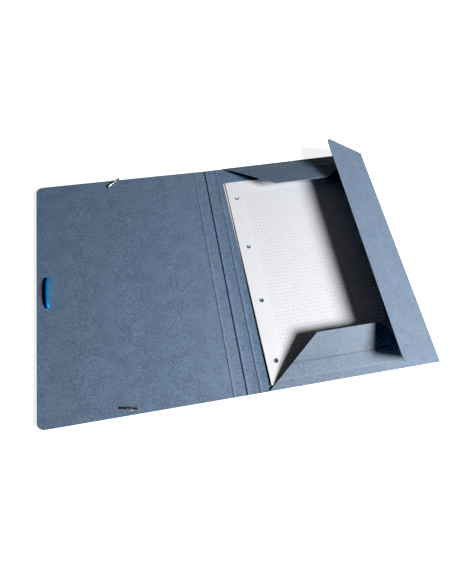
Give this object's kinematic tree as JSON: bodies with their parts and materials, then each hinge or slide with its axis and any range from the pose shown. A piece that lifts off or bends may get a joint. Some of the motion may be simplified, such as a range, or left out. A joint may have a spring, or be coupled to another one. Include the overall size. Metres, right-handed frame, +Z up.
{
  "type": "three flap folder",
  "caption": "Creased board document folder lying open, with flaps that fold in over squared sheets, and an elastic cord closure on its cover.",
  "frame": {"origin": "centre of the back panel's underside, which lies on the table", "axes": "+X from the spine towards the side flap, +Y up the page, +Z up out of the table"},
  "size_m": [0.4804, 0.3316, 0.0441],
  "materials": {
    "pressboard": "matt blue-grey pressboard, finely mottled",
    "white_paper": "matt white writing paper with a fine squared ruling",
    "blue_elastic": "woven bright blue cover over an elastic core",
    "bare_steel": "bright rolled steel"
  },
  "bodies": {
    "back": {"back_panel": "pressboard", "paper_sheets": "white_paper"},
    "cover": {"front_cover": "pressboard", "elastic_cord": "blue_elastic", "cord_tip_top": "bare_steel", "cord_tip_bottom": "bare_steel"},
    "side_flap": {"side_flap": "pressboard"}
  },
  "joints": [
    {"name": "cover_hinge", "type": "hinge", "parent": "back", "child": "cover", "pos_m": [-0.121, 0, 0.0006], "axis": [0, 1, 0], "range_deg": [0, 162]},
    {"name": "side_fold", "type": "hinge", "parent": "back", "child": "side_flap", "pos_m": [0.1207, 0, 0.0006], "axis": [0, 1, 0], "range_deg": [-8, 147]}
  ]
}
